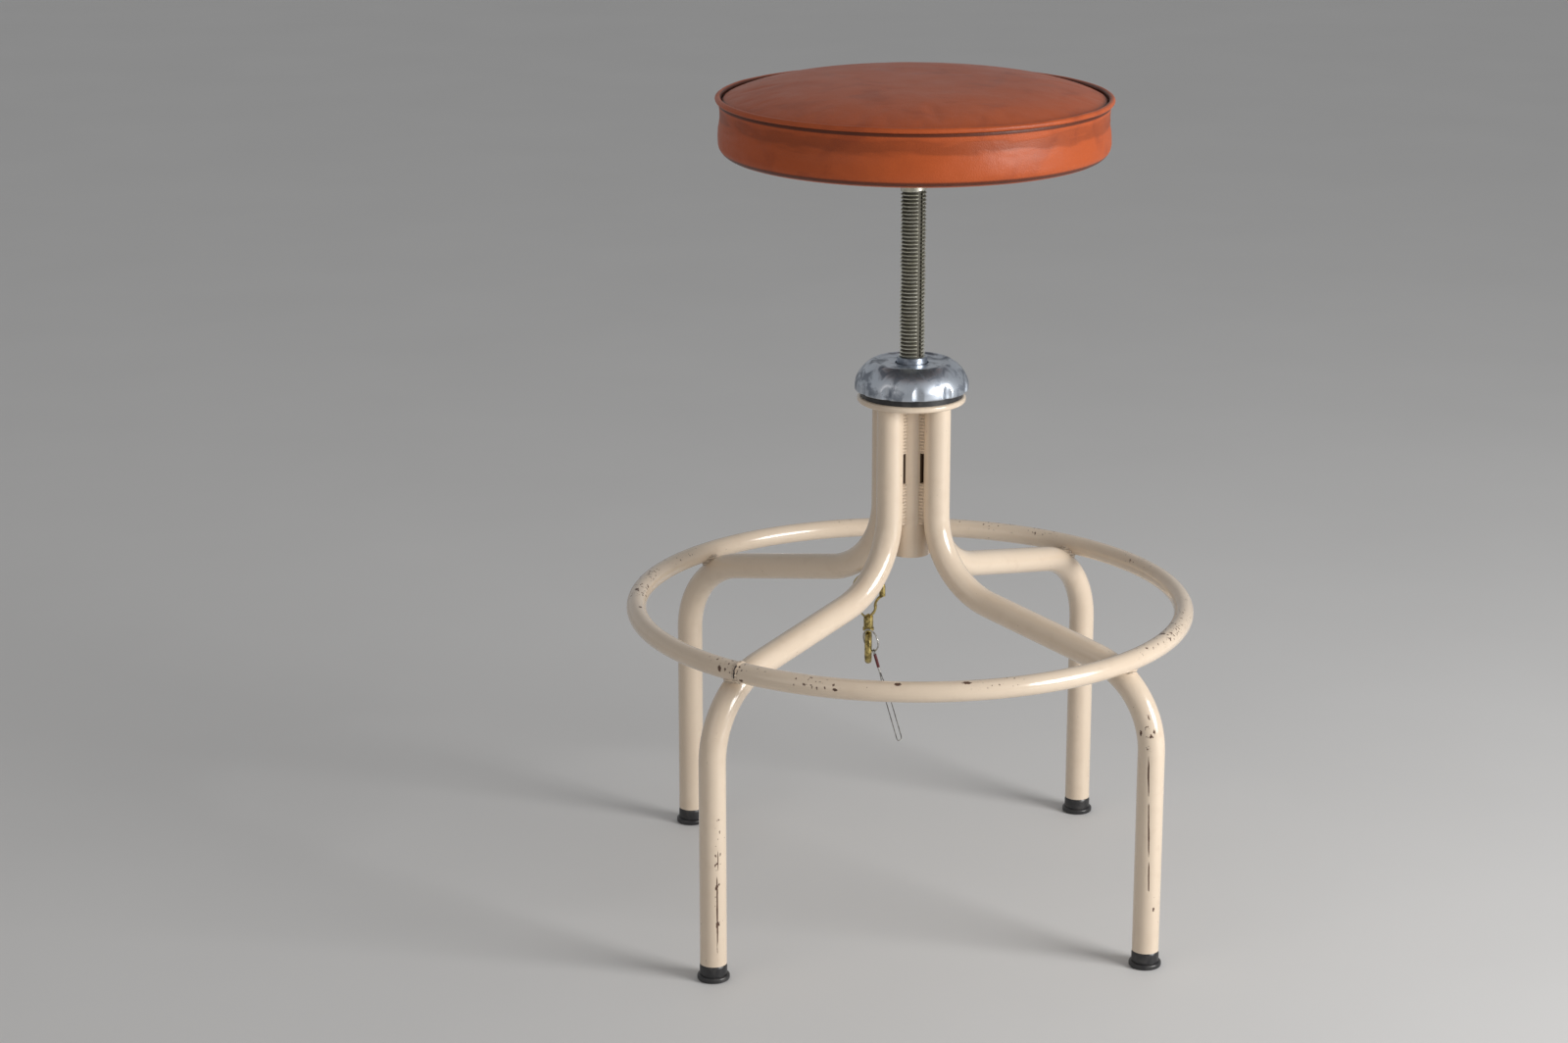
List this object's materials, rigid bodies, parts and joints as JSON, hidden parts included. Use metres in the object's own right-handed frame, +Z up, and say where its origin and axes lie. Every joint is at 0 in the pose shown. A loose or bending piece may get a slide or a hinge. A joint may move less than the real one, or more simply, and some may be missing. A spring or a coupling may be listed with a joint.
{
  "type": "machinist stool",
  "caption": "Screw-lift shop stool with a padded round swivel seat, a hand wheel nut, bent tube legs round a column and a foot ring.",
  "frame": {"origin": "on the floor, on the axis of the spindle, midway between the four feet", "axes": "+Z up along the spindle, -Y to the front, +X to the right; the legs stand on the diagonals"},
  "size_m": [0.549, 0.549, 0.812],
  "materials": {
    "cream_enamel": "glossy cream enamel, chipped and scratched",
    "black_rubber": "matt black rubber",
    "bush_bronze": "turned bronze",
    "spindle_steel": "zinc plate, yellowed",
    "bearing_steel": "ground steel",
    "bright_plate": "bright plate with dull spots",
    "cage_brass": "pressed brass",
    "plywood": "raw plywood",
    "dark_steel": "black lacquer",
    "cushion_foam": "soft open foam",
    "seat_vinyl": "satin rust-orange vinyl with a fine grain",
    "black_cloth": "thin black cloth",
    "aged_brass": "aged, dull brass",
    "wire_nickel": "bright nickel",
    "wire_steel": "dark steel wire",
    "red_sleeve": "dark red sleeve"
  },
  "bodies": {
    "frame": {"centre_tube": "cream_enamel", "leg_rear_right": "cream_enamel", "leg_rear_left": "cream_enamel", "leg_front_left": "cream_enamel", "leg_front_right": "cream_enamel", "foot_tip_rear_right": "black_rubber", "foot_tip_rear_left": "black_rubber", "foot_tip_front_left": "black_rubber", "foot_tip_front_right": "black_rubber", "top_plate": "cream_enamel", "foot_ring": "cream_enamel", "ring_butt_weld": "cream_enamel", "ring_welds": "cream_enamel", "leg_welds": "cream_enamel", "hook_eyelet": "cream_enamel", "guide_bush": "bush_bronze", "spindle_key": "spindle_steel", "dust_washer": "black_rubber", "lower_race": "bearing_steel"},
    "handwheel": {"handwheel_shell": "bright_plate", "spindle_nut": "bright_plate", "upper_race": "bearing_steel"},
    "bearing": {"ball_cage": "cage_brass", "bearing_balls": "bearing_steel"},
    "spindle": {"spindle": "spindle_steel", "stop_washer": "spindle_steel", "stop_screw": "spindle_steel", "thrust_washer": "bearing_steel", "retaining_ring": "bearing_steel"},
    "seat": {"seat_board": "plywood", "seat_plate": "dark_steel", "seat_hub": "dark_steel", "plate_screws": "spindle_steel", "seat_foam": "cushion_foam", "seat_top_cover": "seat_vinyl", "seat_boxing": "seat_vinyl", "seat_welt": "seat_vinyl", "seat_dust_cover": "black_cloth", "cover_staples": "spindle_steel"},
    "snap": {"snap_body": "aged_brass", "gate_rivet": "aged_brass"},
    "gate": {"snap_gate": "aged_brass"},
    "eye": {"swivel_eye": "aged_brass"},
    "key_loop": {"split_ring": "wire_nickel", "wire_loop": "wire_steel", "loop_sleeve": "red_sleeve", "loop_ferrule": "wire_nickel"}
  },
  "joints": [
    {"name": "handwheel_turn", "type": "hinge", "parent": "frame", "child": "handwheel", "pos_m": [0, 0, 0.525], "axis": [0, 0, 1], "range_deg": [-4490, 15990]},
    {"name": "spindle_lift", "type": "slide", "parent": "frame", "child": "spindle", "axis": [0, 0, 1], "range_m": [-0.16, 0.045]},
    {"name": "bearing_turn", "type": "hinge", "parent": "frame", "child": "bearing", "pos_m": [0, 0, 0.513], "axis": [0, 0, 1], "range_deg": [-2250, 8000]},
    {"name": "seat_swivel", "type": "hinge", "parent": "spindle", "child": "seat", "pos_m": [0, 0, 0.74], "axis": [0, 0, 1], "continuous": true},
    {"name": "snap_swing", "type": "hinge", "parent": "frame", "child": "snap", "pos_m": [-0.03606, 0.03606, 0.31345], "axis": [0.0732, 0.9973, 0], "range_deg": [-8, 8]},
    {"name": "gate_open", "type": "hinge", "parent": "snap", "child": "gate", "pos_m": [-0.04943, 0.03704, 0.29025], "axis": [0.0732, 0.9973, 0], "range_deg": [0, 30], "stiffness_Nm_per_rad": 0.05, "springref_deg": -20.05},
    {"name": "eye_swivel", "type": "hinge", "parent": "snap", "child": "eye", "pos_m": [-0.03606, 0.03606, 0.26012], "axis": [0, 0, 1], "continuous": true},
    {"name": "loop_swing", "type": "hinge", "parent": "eye", "child": "key_loop", "pos_m": [-0.03467, 0.02494, 0.2531], "axis": [0.8121, 0.5687, 0.1305], "range_deg": [-20, 3]}
  ],
  "couplings": [
    {"joint": "spindle_lift", "follows": "handwheel_turn", "m_per_rad": -0.00057296},
    {"joint": "bearing_turn", "follows": "handwheel_turn", "ratio": 0.5}
  ]
}
